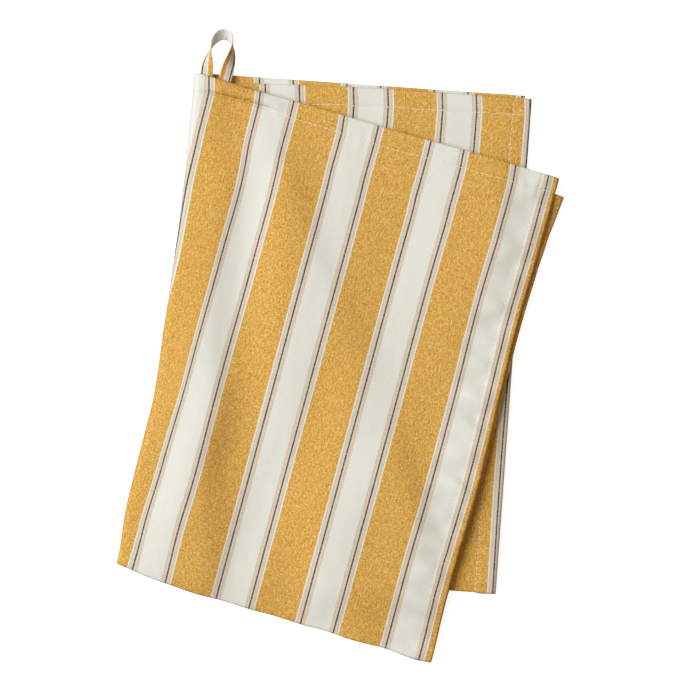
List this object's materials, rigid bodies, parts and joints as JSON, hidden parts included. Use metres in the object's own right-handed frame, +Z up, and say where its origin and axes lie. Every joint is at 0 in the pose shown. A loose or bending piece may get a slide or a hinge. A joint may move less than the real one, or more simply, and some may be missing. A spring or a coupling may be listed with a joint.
{
  "type": "folded tea towel with a hanging loop",
  "caption": "Striped woven cotton tea towel, folded and laid flat, with a hanging loop at its top hem.",
  "frame": {"origin": "middle of the folded towel's footprint, on the surface that it lies on", "axes": "+Z up off the surface, +Y along the towel towards the hanging loop's end, +X towards the free long edges, away from the long fold"},
  "size_m": [0.3124, 0.4424, 0.0152],
  "materials": {
    "striped_cotton": "matt plain-woven cotton with mustard and off-white stripes between dark pinstripes",
    "loop_tape": "matt striped cotton tape, topstitched"
  },
  "bodies": {
    "root": {"towel_cloth": "striped_cotton", "hanging_loop": "loop_tape"}
  },
  "joints": []
}
